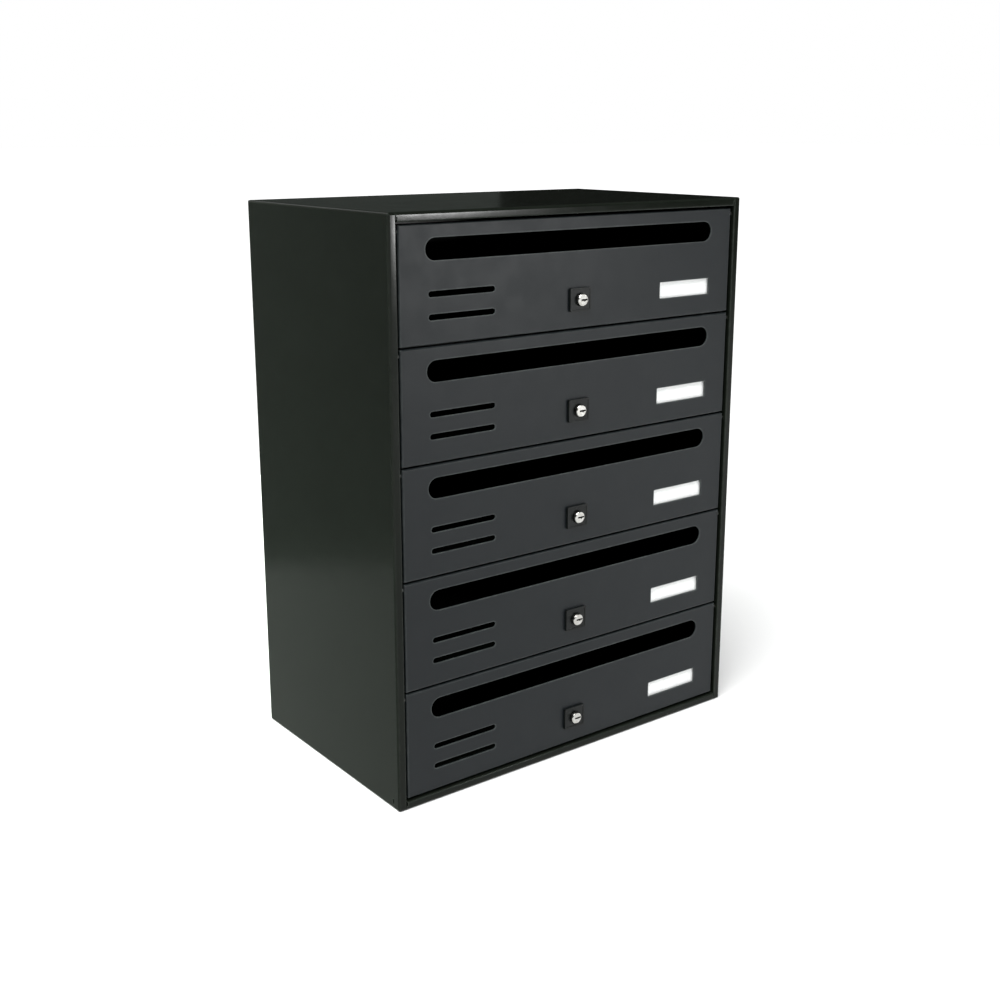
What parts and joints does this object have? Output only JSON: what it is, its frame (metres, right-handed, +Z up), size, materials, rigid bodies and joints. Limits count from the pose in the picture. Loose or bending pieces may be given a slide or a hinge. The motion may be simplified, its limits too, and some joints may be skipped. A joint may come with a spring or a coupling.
{
  "type": "cluster mailbox unit",
  "caption": "Upright steel bank of stacked letter compartments with lift-up doors, each with a letter slot, vents, name card and cam lock.",
  "frame": {"origin": "on the ground, under the middle of the whole object with its lock noses", "axes": "+Z up, doors face -Y, +X to the right of a person standing in front"},
  "size_m": [0.4, 0.244, 0.518],
  "materials": {
    "cabinet_paint": "fine-textured olive-black powder coat",
    "door_paint": "satin anthracite powder coat",
    "zinc_plate": "bright zinc plating",
    "polished_nickel": "polished nickel plating",
    "black_plastic": "moulded black plastic",
    "clear_plastic": "clear moulded plastic",
    "white_card": "plain white card"
  },
  "bodies": {
    "cabinet": {"cabinet_shell": "cabinet_paint", "back_panel": "cabinet_paint", "shelf_1": "cabinet_paint", "shelf_2": "cabinet_paint", "shelf_3": "cabinet_paint", "shelf_4": "cabinet_paint", "floor_panel": "cabinet_paint", "hinge_rod_1": "zinc_plate", "hinge_rod_2": "zinc_plate", "hinge_rod_3": "zinc_plate", "hinge_rod_4": "zinc_plate", "hinge_rod_5": "zinc_plate"},
    "door_assembly_1": {"door_1": "door_paint", "name_pocket_1": "clear_plastic", "name_card_1": "white_card", "lock_plate_1": "black_plastic", "lock_barrel_1": "zinc_plate", "lock_nut_1": "zinc_plate"},
    "lock_assembly_1": {"lock_plug_1": "polished_nickel", "lock_cam_1": "zinc_plate", "cam_screw_1": "zinc_plate"},
    "door_assembly_2": {"door_2": "door_paint", "name_pocket_2": "clear_plastic", "name_card_2": "white_card", "lock_plate_2": "black_plastic", "lock_barrel_2": "zinc_plate", "lock_nut_2": "zinc_plate"},
    "lock_assembly_2": {"lock_plug_2": "polished_nickel", "lock_cam_2": "zinc_plate", "cam_screw_2": "zinc_plate"},
    "door_assembly_3": {"door_3": "door_paint", "name_pocket_3": "clear_plastic", "name_card_3": "white_card", "lock_plate_3": "black_plastic", "lock_barrel_3": "zinc_plate", "lock_nut_3": "zinc_plate"},
    "lock_assembly_3": {"lock_plug_3": "polished_nickel", "lock_cam_3": "zinc_plate", "cam_screw_3": "zinc_plate"},
    "door_assembly_4": {"door_4": "door_paint", "name_pocket_4": "clear_plastic", "name_card_4": "white_card", "lock_plate_4": "black_plastic", "lock_barrel_4": "zinc_plate", "lock_nut_4": "zinc_plate"},
    "lock_assembly_4": {"lock_plug_4": "polished_nickel", "lock_cam_4": "zinc_plate", "cam_screw_4": "zinc_plate"},
    "door_assembly_5": {"door_5": "door_paint", "name_pocket_5": "clear_plastic", "name_card_5": "white_card", "lock_plate_5": "black_plastic", "lock_barrel_5": "zinc_plate", "lock_nut_5": "zinc_plate"},
    "lock_assembly_5": {"lock_plug_5": "polished_nickel", "lock_cam_5": "zinc_plate", "cam_screw_5": "zinc_plate"}
  },
  "joints": [
    {"name": "door_hinge_1", "type": "hinge", "parent": "cabinet", "child": "door_assembly_1", "pos_m": [0, -0.1125, 0.5025], "axis": [-1, 0, 0], "range_deg": [0, 90]},
    {"name": "lock_turn_1", "type": "hinge", "parent": "door_assembly_1", "child": "lock_assembly_1", "pos_m": [0, -0.116, 0.435], "axis": [0, 1, 0], "range_deg": [0, 90]},
    {"name": "door_hinge_2", "type": "hinge", "parent": "cabinet", "child": "door_assembly_2", "pos_m": [0, -0.1125, 0.4025], "axis": [-1, 0, 0], "range_deg": [0, 90]},
    {"name": "lock_turn_2", "type": "hinge", "parent": "door_assembly_2", "child": "lock_assembly_2", "pos_m": [0, -0.116, 0.335], "axis": [0, 1, 0], "range_deg": [0, 90]},
    {"name": "door_hinge_3", "type": "hinge", "parent": "cabinet", "child": "door_assembly_3", "pos_m": [0, -0.1125, 0.3025], "axis": [-1, 0, 0], "range_deg": [0, 90]},
    {"name": "lock_turn_3", "type": "hinge", "parent": "door_assembly_3", "child": "lock_assembly_3", "pos_m": [0, -0.116, 0.235], "axis": [0, 1, 0], "range_deg": [0, 90]},
    {"name": "door_hinge_4", "type": "hinge", "parent": "cabinet", "child": "door_assembly_4", "pos_m": [0, -0.1125, 0.2025], "axis": [-1, 0, 0], "range_deg": [0, 90]},
    {"name": "lock_turn_4", "type": "hinge", "parent": "door_assembly_4", "child": "lock_assembly_4", "pos_m": [0, -0.116, 0.135], "axis": [0, 1, 0], "range_deg": [0, 90]},
    {"name": "door_hinge_5", "type": "hinge", "parent": "cabinet", "child": "door_assembly_5", "pos_m": [0, -0.1125, 0.1025], "axis": [-1, 0, 0], "range_deg": [0, 90]},
    {"name": "lock_turn_5", "type": "hinge", "parent": "door_assembly_5", "child": "lock_assembly_5", "pos_m": [0, -0.116, 0.035], "axis": [0, 1, 0], "range_deg": [0, 90]}
  ]
}
